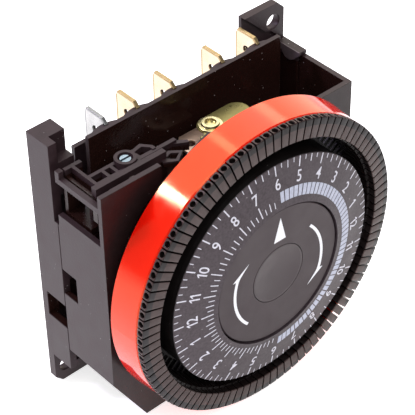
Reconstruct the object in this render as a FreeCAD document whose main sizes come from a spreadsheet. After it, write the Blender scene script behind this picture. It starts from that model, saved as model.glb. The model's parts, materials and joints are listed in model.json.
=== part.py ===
import FreeCAD, Part
import os
import re
import Sketcher

# Twenty-four hour mechanical timer with captive trippers.
#
# Frame: the origin is on the dial's axis, in the plane of the rear mounting face.
# +Z is up, +X is to the right as the dial is read, and the dial faces -Y.
# "Depth" is the distance in front of the rear face, so a depth d lies at Y = -d.

Vector = FreeCAD.Vector
doc = FreeCAD.newDocument("DayTimer")
sheet = doc.addObject("Spreadsheet::Sheet", "Sizes")

SIZES = {
    # moulded case
    "half_width": 32.5,
    "joint_depth": 7.9,
    "joint_gap": 0.2,
    "front_depth": 22.0,
    "wall": 1.2,
    "case_bottom": -32.8,
    "case_chamfer_x": 8.0,
    "case_chamfer_z": 13.6,
    "case_left_top": 29.2,
    "case_right_top": 23.7,
    "opening_radius": 31.2,
    "back_thick": 2.2,
    "back_top": 20.0,
    "base_left_top": 32.5,
    "ear_top": 33.7,
    "ear_thick": 1.9,
    "ear_step": 1.0,
    "ear_corner": 1.8,
    "ear_width": 11.0,
    "foot_top": -25.0,
    "hole_pitch": 59.0,
    "hole_radius": 1.8,
    "shroud_left": -24.2,
    "shroud_right": 25.5,
    "shroud_top": 31.0,
    "shroud_front": 8.3,
    "shroud_thick": 1.05,
    "swell_thick": 1.8,
    "swell_radius": 6.4,
    # quick-connect blades
    "blade_width": 6.35,
    "blade_thick": 0.8,
    "blade_rear": 1.0,
    "blade_top": 32.2,
    "blade_foot": 13.0,
    "blade_chamfer": 1.1,
    "blade_hole": 0.85,
    "blade_hole_drop": 3.9,
    "block_floor": 17.5,
    # dial
    "spindle_radius": 2.5,
    "spindle_bore": 2.55,
    "hub_radius": 5.0,
    "hub_rear": 13.8,
    "hub_front": 29.6,
    "shoulder_radius": 8.0,
    "shoulder_rear": 20.6,
    "flange_rear": 24.3,
    "flange_front": 25.5,
    "flange_radius": 32.3,
    "drum_inner": 24.6,
    "drum_outer": 25.8,
    "drum_front": 32.2,
    "scale_inner": 16.2,
    "scale_outer": 26.0,
    "scale_high": 35.3,
    "scale_low": 33.4,
    "scale_thick": 1.2,
    "pointer_radius": 15.9,
    "pointer_front": 34.95,
    "pointer_rear": 33.0,
    "cap_radius": 6.6,
    "cap_seat": 6.75,
    "cap_rear": 33.7,
    "cap_dish": 0.55,
    "ring_front_radius": 33.25,
    "ring_rear_radius": 33.8,
    "ring_front": 31.25,
    "ring_wall": 0.9,
    # trippers
    "tripper_count": 96,
    "tripper_sweep": 3.1,
    "tripper_inner": 29.1,
    "tripper_outer": 33.35,
    "tripper_high": 33.3,
    "tripper_low": 33.0,
    "tripper_under": 31.5,
    "stem_inner": 28.7,
    "stem_outer": 32.0,
    "stem_rear": 25.7,
    "tail_inner": 28.7,
    "tail_outer": 29.8,
    "tail_rear": 22.3,
    "tail_sweep": 1.5,
    "slot_inner": 26.4,
    "slot_outer": 30.1,
    "skirt_radius": 30.9,
    "skirt_rear": 22.3,
    "slot_width": 1.3,
    "notch_radius": 0.62,
    # gear train
    "dial_module": 0.5,
    "dial_teeth": 80,
    "idler_pinion_teeth": 12,
    "train_module": 0.4,
    "idler_teeth": 48,
    "output_teeth": 10,
    "dial_gear_rear": 18.0,
    "dial_gear_front": 20.0,
    "idler_rear": 15.0,
    "idler_front": 16.6,
    "mesh_slack": 0.12,
    "arbor_radius": 0.8,
    "arbor_bore": 0.85,
    "plate_rear": 12.0,
    "plate_front": 13.2,
    # synchronous motor
    "motor_x": -4.0,
    "motor_z": -8.5,
    "motor_radius": 19.5,
    "motor_rear": 2.4,
    "motor_front": 11.8,
    "can_wall": 0.6,
    "coil_outer": 17.0,
    "coil_inner": 11.0,
    "rotor_radius": 8.5,
    # switch
    "lever_x": -16.0,
    "lever_z": 20.0,
    "nose_x": -3.84,
    "nose_z": 27.33,
    "push_x": -2.5,
    "push_z": 25.85,
    "lever_rear": 19.1,
    "lever_front": 20.4,
    "leaf_z": 24.6,
    "leaf_thick": 0.3,
    "leaf_half": 2.7,
    "leaf_end": 7.6,
    "leaf_depth": 14.6,
    "leaf_tongue": 18.7,
    "clamp_x": 9.0,
    "rivet_x": 0.7,
    "rivet_radius": 2.5,
    "button_radius": 1.7,
    "button_high": 0.5,
    "fixed_z": 21.0,
    "carrier_floor": 17.6,
    "carrier_low": 12.8,
    "carrier_top": 28.6,
    "boss_x": -20.8,
    "boss_depth": 14.8,
    "boss_radius": 2.2,
    "boss_bore": 1.5,
    "screw_head": 1.15,
}

for row, (alias, value) in enumerate(SIZES.items(), start=1):
    sheet.set(f"A{row}", alias)
    sheet.set(f"B{row}", str(value))
    sheet.setAlias(f"B{row}", alias)
doc.recompute()

NODES = []


def bound(text):
    """An expression in the sheet's aliases, as FreeCAD wants it written."""
    def full_name(match):
        word = match.group()
        return word if word in ("sin", "cos", "sqrt", "deg", "pi") else "Sizes." + word
    return re.sub(r"[A-Za-z_]\w*", full_name, str(text))


def number(text):
    """The present value of an expression in the sheet's aliases."""
    value = sheet.evalExpression(bound(text))
    return float(getattr(value, "Value", value))


def node(label, item):
    """Names the finished piece, which is written to parts/LABEL.step."""
    item.Label = label
    NODES.append(item)
    return item


# ---------------------------------------------------------------- primitives

def block(x, depth, z):
    """A box between two values of x, of depth and of z."""
    box = doc.addObject("Part::Box", "Block")
    box.setExpression("Length", bound(f"({x[1]}) - ({x[0]})"))
    box.setExpression("Width", bound(f"({depth[1]}) - ({depth[0]})"))
    box.setExpression("Height", bound(f"({z[1]}) - ({z[0]})"))
    box.setExpression("Placement.Base.x", bound(x[0]))
    box.setExpression("Placement.Base.y", bound(f"-({depth[1]})"))
    box.setExpression("Placement.Base.z", bound(z[0]))
    return box


def rod(radius, depth, x="0", z="0"):
    """A cylinder about an axis along Y."""
    cylinder = doc.addObject("Part::Cylinder", "Rod")
    cylinder.Placement = FreeCAD.Placement(Vector(), FreeCAD.Rotation(Vector(1, 0, 0), 90))
    cylinder.setExpression("Radius", bound(radius))
    cylinder.setExpression("Height", bound(f"({depth[1]}) - ({depth[0]})"))
    cylinder.setExpression("Placement.Base.x", bound(x))
    cylinder.setExpression("Placement.Base.y", bound(f"-({depth[0]})"))
    cylinder.setExpression("Placement.Base.z", bound(z))
    return cylinder


def upright(radius, x, depth, z):
    """A cylinder about a vertical axis."""
    cylinder = doc.addObject("Part::Cylinder", "Upright")
    cylinder.setExpression("Radius", bound(radius))
    cylinder.setExpression("Height", bound(f"({z[1]}) - ({z[0]})"))
    cylinder.setExpression("Placement.Base.x", bound(x))
    cylinder.setExpression("Placement.Base.y", bound(f"-({depth})"))
    cylinder.setExpression("Placement.Base.z", bound(z[0]))
    return cylinder


def fuse(*items):
    if len(items) == 1:
        return items[0]
    joined = doc.addObject("Part::MultiFuse", "Fuse")
    joined.Shapes = list(items)
    joined.Refine = True
    return joined


def cut(base, *tools):
    result = doc.addObject("Part::Cut", "Cut")
    result.Base = base
    result.Tool = fuse(*tools)
    result.Refine = True
    return result


# ------------------------------------------------------------ sketched bodies

def new_sketch(body, role, offset="0"):
    """A sketch on one of the body's own planes; XZ_Plane is offset by a depth."""
    sketch = body.newObject("Sketcher::SketchObject", "Sketch")
    planes = {feature.Role: feature for feature in body.Origin.OriginFeatures}
    sketch.AttachmentSupport = [(planes[role], "")]
    sketch.MapMode = "FlatFace"
    sketch.setExpression("AttachmentOffset.Base.z", bound(offset))
    return sketch


def draw_polygon(sketch, corners):
    """A closed outline whose every corner is placed by two bound dimensions."""
    spots = [Vector(number(u), number(v), 0) for u, v in corners]
    first = sketch.GeometryCount
    count = len(spots)
    for index, spot in enumerate(spots):
        sketch.addGeometry(Part.LineSegment(spot, spots[(index + 1) % count]))
    for index in range(count):
        after = first + (index + 1) % count
        sketch.addConstraint(Sketcher.Constraint("Coincident", first + index, 2, after, 1))
    for index, (u, v) in enumerate(corners):
        for kind, text in (("DistanceX", u), ("DistanceY", v)):
            line = first + index
            which = sketch.addConstraint(Sketcher.Constraint(kind, -1, 1, line, 1, number(text)))
            sketch.setExpression(f"Constraints[{which}]", bound(text))


def draw_circle(sketch, radius, u="0", v="0"):
    centre = Vector(number(u), number(v), 0)
    line = sketch.addGeometry(Part.Circle(centre, Vector(0, 0, 1), number(radius)))
    which = sketch.addConstraint(Sketcher.Constraint("Radius", line, number(radius)))
    sketch.setExpression(f"Constraints[{which}]", bound(radius))
    for kind, text in (("DistanceX", u), ("DistanceY", v)):
        which = sketch.addConstraint(Sketcher.Constraint(kind, -1, 1, line, 3, number(text)))
        sketch.setExpression(f"Constraints[{which}]", bound(text))


def pad(body, sketch, length):
    feature = body.newObject("PartDesign::Pad", "Pad")
    feature.Profile = sketch
    feature.setExpression("Length", bound(length))
    body.Tip = feature
    return feature


def pocket(body, sketch, length):
    """Cuts on both sides of the sketch's plane, by half of the length each way."""
    feature = body.newObject("PartDesign::Pocket", "Pocket")
    feature.Profile = sketch
    feature.Midplane = True
    feature.setExpression("Length", bound(length))
    body.Tip = feature
    return feature


def revolve(body, sketch, sweep="360"):
    """Turns a profile drawn on the XY plane about the dial's axis."""
    feature = body.newObject("PartDesign::Revolution", "Revolution")
    feature.Profile = sketch
    feature.ReferenceAxis = (sketch, ["V_Axis"])
    feature.Midplane = True
    feature.setExpression("Angle", bound(sweep))
    body.Tip = feature
    return feature


def polar(body, features, count, sweep="360"):
    """Repeats features about the dial's axis, evenly over the angle sweep."""
    axis = {item.Role: item for item in body.Origin.OriginFeatures}["Y_Axis"]
    pattern = body.newObject("PartDesign::PolarPattern", "PolarPattern")
    pattern.Originals = features
    pattern.Axis = (axis, [""])
    pattern.setExpression("Angle", bound(sweep))
    pattern.setExpression("Occurrences", bound(count))
    body.Tip = pattern
    return pattern


def plate(corners, depth):
    """A flat piece parallel to the dial: an outline padded between two depths."""
    body = doc.addObject("PartDesign::Body", "Plate")
    sketch = new_sketch(body, "XZ_Plane", depth[0])
    draw_polygon(sketch, corners)
    pad(body, sketch, f"({depth[1]}) - ({depth[0]})")
    return body


def upright_plate(corners, x):
    """A flat piece parallel to the case's sides: an outline of (depth, z) corners padded
    between two values of x."""
    body = doc.addObject("PartDesign::Body", "UprightPlate")
    sketch = new_sketch(body, "YZ_Plane", x[0])
    draw_polygon(sketch, [(f"-({depth})", z) for depth, z in corners])
    pad(body, sketch, f"({x[1]}) - ({x[0]})")
    return body


def slab(corners, z):
    """A flat level piece: an outline of (x, depth) corners padded between two heights."""
    body = doc.addObject("PartDesign::Body", "Slab")
    sketch = new_sketch(body, "XY_Plane", z[0])
    draw_polygon(sketch, [(x, f"-({depth})") for x, depth in corners])
    pad(body, sketch, f"({z[1]}) - ({z[0]})")
    return body


def lathe(profile, sweep="360"):
    """A turned piece: a closed profile of (radius, depth) corners about the dial's axis."""
    body = doc.addObject("PartDesign::Body", "Turned")
    sketch = new_sketch(body, "XY_Plane")
    draw_polygon(sketch, [(radius, f"-({depth})") for radius, depth in profile])
    revolve(body, sketch, sweep)
    return body


def place(item, x, z):
    """Moves a piece that was made about the dial's axis to its own axis."""
    item.setExpression("Placement.Base.x", bound(x))
    item.setExpression("Placement.Base.z", bound(z))
    return item


# ------------------------------------------------------------------ rear base

def mounting_ear(side):
    """A thin corner ear, thicker round its hole; side is 1 at top right, -1 at bottom left."""
    inner = f"{side} * (half_width - ear_width)"
    outer = f"{side} * half_width"
    high = f"{side} * ear_top"
    cropped_x = f"{side} * (half_width - ear_corner)"
    cropped_z = f"{side} * (ear_top - ear_corner)"
    corner = [(outer, cropped_z), (cropped_x, high), (inner, high)]
    ear = plate([(inner, f"{side} * 20"), (outer, f"{side} * 20"), *corner],
                ("0", "ear_thick - ear_step"))
    face = plate([(f"{side} * 27.4", f"{side} * 28.0"), (f"{side} * 29.1", f"{side} * 27.4"),
                  (outer, f"{side} * 24"), *corner], ("0", "ear_thick"))
    centre = (f"{side} * hole_pitch / 2", f"{side} * hole_pitch / 2")
    hole = rod("hole_radius", ("-1", "ear_thick + 2"), *centre)
    return fuse(ear, face), hole


BLADE_X = ["-19.0", "-11.2", "-1.9", "10.8", "20.2"]


def rear_base():
    back = plate(
        [("-half_width", "foot_top"), ("-24.5", "foot_top"), ("-24.5", "case_bottom"),
         ("half_width - 8", "case_bottom"), ("half_width", "-25"), ("half_width", "24.6"),
         ("-26.7", "24.6"), ("-26.7", "base_left_top"), ("-half_width", "base_left_top")],
        ("0", "back_thick"))
    side = "half_width - 1.6"
    floor_front = "joint_depth - joint_gap"
    rim = [
        block(("-half_width", f"-({side})"), ("0", floor_front), ("foot_top", "14.5")),
        block((side, "half_width"), ("0", floor_front), ("-25", "24.7")),
        block(("-24.5", "24.5"), ("0", floor_front), ("case_bottom", "case_bottom + 1.6")),
        block(("-half_width", "-30.5"), ("0", "6.7"), ("14.4", "base_left_top")),
        block(("-30.6", "-26.7"), ("0", "4.3"), ("20", "base_left_top")),
        block(("-30.6", "-26.7"), ("4.2", "6.7"), ("20", "27.6")),
        block(("-24.5", "-22.9"), ("0", floor_front), ("case_bottom", "foot_top + 1.6")),
        block((f"-({side})", "-22.9"), ("0", floor_front), ("foot_top", "foot_top + 1.6")),
    ]
    chamfer_wall = plate(
        [("half_width - 8", "case_bottom"), ("half_width", "-25"), ("half_width - 1.6", "-24"),
         ("half_width - 9", "case_bottom + 1.6")],
        ("0", floor_front))
    # the row of blades stands in a block whose front rises as a finger guard
    terminal_block = block(("shroud_left", "shroud_right"), ("0", "shroud_front"),
                           ("blade_foot - 1.0", "block_floor"))
    shroud = block(("shroud_left", "shroud_right"),
                   ("shroud_front - shroud_thick", "shroud_front"),
                   ("block_floor - 0.5", "shroud_top"))
    swell_centre = "shroud_front - swell_thick + swell_radius"
    swells = [
        cut(upright("swell_radius", f"{x} - 0.6", swell_centre,
                    ("block_floor - 0.5", "shroud_top")),
            block((f"{x} - 9", f"{x} + 9"), ("shroud_front", "shroud_front + 14"), ("10", "40")))
        for x in BLADE_X
    ]
    left_post = block(("-23.4", "-19.9"), ("1.4", "2.4"), ("19", "25.0"))
    flap = upright_plate([("1.5", "24.7"), ("8.8", "24.7"), ("8.8", "24.1"), ("7.3", "22.5"),
                          ("6.5", "21.9"), ("5.6", "21.6"), ("4.7", "21.8"), ("4.0", "22.4"),
                          ("3.6", "23.2"), ("1.5", "23.4")], ("half_width - 2.1", "half_width - 1.4"))
    lip = block(("half_width - 2.1", "half_width"), ("7.6", "8.8"), ("23.9", "24.7"))
    ear, ear_hole = mounting_ear(1)
    foot, foot_hole = mounting_ear(-1)
    guides = [rod("1.6", ("1", "motor_rear - 0.1"), x, z)
              for x, z in (("-20", "10"), ("14", "10"), ("-4", "-27"))]
    solid = fuse(back, *rim, chamfer_wall, terminal_block, shroud, *swells, left_post, flap, lip,
                 ear, foot, *guides)
    blade_slots = [
        block((f"{x} - blade_thick / 2 - 0.05", f"{x} + blade_thick / 2 + 0.05"),
              ("blade_rear - 0.05", "blade_rear + blade_width + 0.1"),
              ("blade_foot - 0.05", "40"))
        for x in BLADE_X
    ]
    open_back = block(("-26.6", "21.4"), ("-1", "1.0"), ("back_top", "40"))
    open_lower = block(("-26.6", "26.1"), ("0.9", "back_thick + 0.1"), ("back_top", "40"))
    notch_depth = ("1.7", "joint_depth + 1")
    snap_window = block(("-half_width - 1", "-half_width + 2"), notch_depth, ("-13.4", "-7.2"))
    snap_mirror = block(("half_width - 2", "half_width + 1"), notch_depth, ("-13.4", "-7.2"))
    open_top = cut(fuse(open_back, open_lower), left_post, ear)
    return node("rear_base", cut(solid, *blade_slots, open_top, snap_window, snap_mirror,
                                 ear_hole, foot_hole))


# ----------------------------------------------------------------- front case

def front_case():
    left, right = "-half_width", "half_width"
    inner_left, inner_right = "-half_width + wall", "half_width - wall"
    rear, front = "joint_depth", "front_depth"
    outer = plate(
        [(left, "case_bottom + case_chamfer_z"), (f"{left} + case_chamfer_x", "case_bottom"),
         (f"{right} - case_chamfer_x", "case_bottom"), (right, "case_bottom + case_chamfer_z"),
         (right, "case_right_top"), ("-18", "case_right_top"), ("-18", "case_left_top"),
         (left, "case_left_top")],
        (rear, front))
    hollow = plate(
        [(inner_left, "case_bottom + case_chamfer_z + 0.4"),
         (f"{left} + case_chamfer_x + 0.7", "case_bottom + wall"),
         (f"{right} - case_chamfer_x - 0.7", "case_bottom + wall"),
         (inner_right, "case_bottom + case_chamfer_z + 0.4"),
         (inner_right, "40"), (inner_left, "40")],
        (f"{rear} - 1", "front_depth - wall"))
    opening = rod("opening_radius", ("front_depth - 3", "front_depth + 1"))
    side_window = block((f"{left} - 1", f"{left} + 3"), (f"{rear} - 1", "front_depth - 1.1"),
                        ("17.1", "25.0"))
    rail_top = block((f"{left} - 1", f"{left} + 3"), ("9.4", "front_depth - 1.1"),
                     ("26.3", "40"))
    corner_top = block((f"{left} - 1", f"{left} + 3"), (f"{rear} - 1", "9.5"), ("27.8", "40"))
    notch_depth = (f"{rear} - 1", "12.2")
    snap_window = block((f"{left} - 1", f"{left} + 2"), notch_depth, ("-3.5", "2.9"))
    snap_mirror = block((f"{right} - 2", f"{right} + 1"), notch_depth, ("-3.5", "2.9"))
    rear_crop = block((f"{left} - 1", f"{left} + 3"), (f"{rear} - 1", f"{rear} + 0.3"),
                      ("14.5", "40"))
    shell = cut(outer, hollow, opening, side_window, rail_top, corner_top, snap_window,
                snap_mirror, rear_crop)
    ledge = block(("18", inner_right), ("front_depth - wall - 1.6", "front_depth - wall + 0.1"),
                  ("18.5", "20"))
    ledge_cut = cut(ledge, rod("opening_radius - 0.4", ("10", "30")))
    corner_rib = block(("-24", "-22.8"), ("front_depth - wall - 1.2", "front_depth - wall + 0.1"),
                       ("21.5", "case_left_top - 1"))
    screw_shelf = block((f"{inner_left} - 0.1", "-18.6"), ("13.0", "16.6"), ("12.8", "16.0"))
    screw_hole = upright("0.9", "boss_x", "boss_depth", ("12", "17"))
    return node("front_case", cut(fuse(shell, ledge_cut, corner_rib, screw_shelf), screw_hole))


# ------------------------------------------------------------- switch carrier

def switch_carrier():
    """The moulding that holds the switch: a floor, a framed left end and a screw boss."""
    floor = block(("-31.0", "19.0"), ("8.7", "16.4"), ("carrier_floor - 1.4", "carrier_floor"))
    step = block(("18.0", "19.0"), ("8.7", "16.4"), ("carrier_low", "carrier_floor"))
    low_floor = block(("18.0", "30.9"), ("8.7", "16.4"), ("carrier_low", "carrier_low + 1.2"))
    front_wall = block(("-31.0", "-14.0"), ("17.4", "18.7"), ("20.5", "carrier_top"))
    front_shelf = block(("-31.0", "-17.8"), ("16.3", "17.5"), ("24.6", "25.9"))
    left_wall = block(("-31.0", "-30.3"), ("8.7", "18.7"), ("24.6", "26.3"))
    rear_wall = block(("-31.0", "-27.0"), ("8.7", "9.6"), ("carrier_floor - 0.2", "27.8"))
    tray = block(("-31.0", "-28.2"), ("8.7", "17.5"), ("24.6", "25.2"))
    tray_rib = block(("-29.6", "-28.9"), ("9.5", "17.5"), ("24.6", "27.9"))
    inner_rail = block(("-29.0", "-18.5"), ("13.6", "14.4"), ("carrier_floor - 0.2", "27.8"))
    front_rail = block(("-29.0", "-18.5"), ("16.3", "17.0"), ("24.6", "27.8"))
    cross_ribs = [block((x, f"{x} + 0.7"), ("13.6", "17.5"), ("carrier_floor - 0.2", "27.8"))
                  for x in ("-26.3", "-24.3")]
    link_rib = block(("-18.9", "-9.6"), ("15.6", "16.5"), ("22.6", "27.8"))
    short_rib = block(("-18.9", "-17.7"), ("12.9", "17.5"), ("carrier_floor - 0.2", "27.6"))
    arch = slab([("-18.9", "13.6"), ("-15.8", "12.9"), ("-14.2", "14.9"), ("-14.2", "15.9"),
                 ("-15.0", "15.9"), ("-15.0", "15.1"), ("-16.1", "13.8"), ("-18.9", "14.4")],
                ("25.8", "28.0"))
    wing = slab([("-9.9", "15.8"), ("-7.6", "17.4"), ("-7.9", "18.2"), ("-10.9", "16.4")],
                ("25.4", "27.3"))
    frame = cut(
        slab([("-15.4", "18.2"), ("-12.4", "17.2"), ("-10.2", "19.0"), ("-12.9", "20.9"),
              ("-15.4", "19.4")], ("25.8", "27.0")),
        slab([("-14.3", "18.7"), ("-12.5", "18.1"), ("-11.2", "19.1"), ("-12.9", "20.1")],
             ("25", "28")))
    boss = upright("boss_radius", "boss_x", "boss_depth", ("carrier_floor - 0.2", "carrier_top"))
    bore = upright("boss_bore", "boss_x", "boss_depth", ("carrier_top - 1.6", "carrier_top + 1"))
    pilot = upright("0.9", "boss_x", "boss_depth", ("carrier_floor - 2", "carrier_top"))
    pivot_boss = rod("1.7", ("8.9", "lever_rear - 0.3"), "lever_x", "lever_z")
    pivot_web = block(("lever_x - 1.0", "lever_x + 1.0"), ("8.9", "16.4"),
                      ("carrier_floor - 0.2", "lever_z"))
    pivot_bore = rod("arbor_radius", ("12", "lever_rear"), "lever_x", "lever_z")
    leaf_post = block(("clamp_x - 1.2", "clamp_x + 0.8"), ("13.0", "16.2"),
                      ("carrier_floor - 0.2", "leaf_z - 1.4"))
    strip_post = block(("-4.9", "-1.4"), ("11.6", "16.2"), ("carrier_floor - 0.2", "fixed_z"))
    solid = fuse(floor, step, low_floor, front_wall, front_shelf, left_wall, rear_wall, tray,
                 tray_rib, inner_rail, front_rail, *cross_ribs, link_rib, short_rib, arch, wing,
                 frame, boss, pivot_boss, pivot_web, leaf_post, strip_post)
    return node("switch_carrier", cut(solid, bore, pilot, pivot_bore))


def carrier_screw():
    head = upright("screw_head", "boss_x", "boss_depth", ("carrier_top - 1.6", "carrier_top - 0.3"))
    shank = upright("0.9", "boss_x", "boss_depth", ("13.2", "carrier_top - 1.5"))
    slot = block(("boss_x - 2", "boss_x + 2"), ("boss_depth - 0.2", "boss_depth + 0.2"),
                 ("carrier_top - 0.7", "carrier_top"))
    return node("carrier_screw", cut(fuse(head, shank), slot))


# ------------------------------------------------------------ terminals, switch

def terminal(index, x):
    """A quick-connect blade with a chamfered tip, a detent hole and a cropped foot."""
    rear, front = "blade_rear", "blade_rear + blade_width"
    body = doc.addObject("PartDesign::Body", "Blade")
    sketch = new_sketch(body, "YZ_Plane", f"{x} - blade_thick / 2")
    corners = [
        (f"-({rear})", "blade_foot"), (f"-({rear})", "blade_top - blade_chamfer"),
        (f"-({rear} + 0.5)", "blade_top"), (f"-({front}) + blade_chamfer", "blade_top"),
        (f"-({front})", "blade_top - blade_chamfer"), (f"-({front})", "blade_foot"),
    ]
    draw_polygon(sketch, corners)
    pad(body, sketch, "blade_thick")
    hole = new_sketch(body, "YZ_Plane", x)
    draw_circle(hole, "blade_hole", "-(blade_rear + blade_width / 2)",
                "blade_top - blade_hole_drop")
    pocket(body, hole, "3 * blade_thick")
    return node(f"terminal_{index}", body)


def contact_arm():
    """The leaf that carries the moving contact, with a tongue in front for the lever."""
    z = ("leaf_z", "leaf_z + leaf_thick")
    middle = block(("rivet_x", "leaf_end"), ("leaf_depth - leaf_half", "leaf_depth + leaf_half"), z)
    ends = [upright("leaf_half", x, "leaf_depth", z) for x in ("rivet_x", "leaf_end")]
    tongue = block(("push_x - 0.9", "push_x + 1.6"), ("16.2", "leaf_tongue"), z)
    root = slab([("push_x - 0.9", "17.2"), ("rivet_x - 2.2", "leaf_depth + 0.6"),
                 ("rivet_x + 1.0", "17.2")], z)
    return node("contact_leaf", fuse(middle, *ends, tongue, root))


def moving_contact():
    """A brass eyelet through the leaf and the silver button under it."""
    top = "leaf_z + leaf_thick"
    flange = upright("rivet_radius", "rivet_x", "leaf_depth", (top, f"{top} + 0.3"))
    crown = upright("rivet_radius - 0.7", "rivet_x", "leaf_depth", (top, f"{top} + 0.8"))
    hollow = upright("rivet_radius - 1.35", "rivet_x", "leaf_depth",
                     (f"{top} + 0.15", f"{top} + 2"))
    button = upright("button_radius", "rivet_x", "leaf_depth", ("leaf_z - button_high", "leaf_z"))
    return node("moving_contact", cut(fuse(flange, crown), hollow)), node("contact_button", button)


def fixed_contact():
    strip = slab([("-5.6", "12.0"), ("-3.7", "10.1"), ("3.2", "10.1"), ("3.2", "16.2"),
                  ("-5.6", "16.2")], ("fixed_z", "fixed_z + 0.6"))
    hole = upright("1.0", "-3.2", "13.1", ("fixed_z - 1", "fixed_z + 2"))
    return node("fixed_strip", cut(strip, hole))


def fixed_button():
    return node("fixed_button", upright("button_radius", "rivet_x", "leaf_depth",
                                        ("fixed_z + 0.6", "fixed_z + 0.9")))


def leaf_clamp():
    """The brass foot under the leaf's right-hand end."""
    return node("leaf_clamp", block(("clamp_x - 1.0", "clamp_x + 0.6"), ("13.0", "16.2"),
                                    ("leaf_z - 1.4", "leaf_z - 0.45")))


def switch_lever():
    """The bell crank between the trippers' tails and the leaf."""
    arm = plate(
        [("lever_x - 1.6", "lever_z - 1.2"), ("lever_x + 1.6", "lever_z - 1.6"),
         ("push_x + 1.0", "push_z - 0.9"), ("push_x + 1.2", "push_z + 0.6"),
         ("nose_x + 1.0", "nose_z - 0.2"), ("nose_x", "nose_z + 0.8"),
         ("nose_x - 1.2", "nose_z + 0.4"), ("lever_x - 0.6", "lever_z + 2.0")],
        ("lever_rear", "lever_front"))
    hub = rod("2.0", ("lever_rear", "lever_front + 0.2"), "lever_x", "lever_z")
    nose = rod("0.75", ("lever_front - 0.2", "23.4"), "nose_x", "nose_z")
    pusher = rod("0.6", ("17.9", "lever_rear + 0.2"), "push_x", "push_z")
    bore = rod("arbor_bore", ("lever_rear - 2", "lever_front + 3"), "lever_x", "lever_z")
    return node("switch_lever", cut(fuse(arm, hub, nose, pusher), bore))


def lever_pin():
    shaft = rod("arbor_radius", ("12.0", "lever_front + 0.4"), "lever_x", "lever_z")
    head = rod("1.5", ("lever_front + 0.3", "lever_front + 0.9"), "lever_x", "lever_z")
    return node("lever_pin", fuse(shaft, head))


# ----------------------------------------------------------------------- motor

def motor_turned(label, profile):
    """A turned piece about the motor's axis."""
    return node(label, place(lathe(profile), "motor_x", "motor_z"))


def motor():
    outer, rear, front = "motor_radius", "motor_rear", "motor_front"
    motor_turned("motor_can", [
        ("0.9", rear), (outer, rear), (outer, f"{front} - 0.6"),
        (f"{outer} - can_wall", f"{front} - 0.6"), (f"{outer} - can_wall", f"{rear} + can_wall"),
        ("0.9", f"{rear} + can_wall")])
    motor_turned("motor_cover", [
        ("0.9", f"{front} - 0.6"), (outer, f"{front} - 0.6"), (outer, front), ("0.9", front)])
    motor_turned("motor_bobbin", [
        ("coil_inner - 0.9", f"{rear} + 0.9"), ("coil_outer + 0.5", f"{rear} + 0.9"),
        ("coil_outer + 0.5", f"{rear} + 1.7"), ("coil_inner", f"{rear} + 1.7"),
        ("coil_inner", f"{front} - 1.8"), ("coil_outer + 0.5", f"{front} - 1.8"),
        ("coil_outer + 0.5", f"{front} - 1.0"), ("coil_inner - 0.9", f"{front} - 1.0")])
    motor_turned("motor_coil", [
        ("coil_inner", f"{rear} + 1.7"), ("coil_outer", f"{rear} + 1.7"),
        ("coil_outer", f"{front} - 1.8"), ("coil_inner", f"{front} - 1.8")])
    motor_turned("motor_rotor", [
        ("0.75", f"{rear} + 1.4"), ("rotor_radius", f"{rear} + 1.4"),
        ("rotor_radius", f"{front} - 1.5"), ("0.75", f"{front} - 1.5")])
    node("rotor_arbor", rod("0.75", (f"{rear} - 0.1", f"{front} + 0.1"), "motor_x", "motor_z"))


# ------------------------------------------------------------------ gear train

IDLER_REACH = "(dial_module * (dial_teeth + idler_pinion_teeth) / 2 + mesh_slack)"
IDLER_X = f"{IDLER_REACH} * 0.6428"
IDLER_Z = f"-{IDLER_REACH} * 0.7660"
OUTPUT_REACH = "(train_module * (idler_teeth + output_teeth) / 2 + mesh_slack)"
OUTPUT_X = f"({IDLER_X}) - {OUTPUT_REACH} * 0.9397"
OUTPUT_Z = f"({IDLER_Z}) + {OUTPUT_REACH} * 0.3420"


def gear(module, teeth, depth, bore, turn):
    """A spur gear about the dial's axis, with straight-flanked teeth; one tooth stands at
    the angle turn, in degrees from +Z towards +X."""
    pitch = f"{module} * {teeth} / 2"
    root = f"{pitch} - 1.15 * {module}"
    tip = f"{pitch} + 0.85 * {module}"
    body = doc.addObject("PartDesign::Body", "Gear")
    blank = new_sketch(body, "XZ_Plane", depth[0])
    draw_circle(blank, root)
    draw_circle(blank, bore)
    length = f"({depth[1]}) - ({depth[0]})"
    pad(body, blank, length)
    tooth_sketch = new_sketch(body, "XZ_Plane", depth[0])
    draw_polygon(tooth_sketch, [
        (f"-0.86 * {module}", f"{root} - 0.15"), (f"0.86 * {module}", f"{root} - 0.15"),
        (f"0.60 * {module}", f"{pitch}"), (f"0.30 * {module}", tip),
        (f"-0.30 * {module}", tip), (f"-0.60 * {module}", f"{pitch}")])
    tooth = pad(body, tooth_sketch, length)
    polar(body, [tooth], teeth)
    body.Placement = FreeCAD.Placement(Vector(), FreeCAD.Rotation(Vector(0, 1, 0), turn))
    return body


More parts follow.
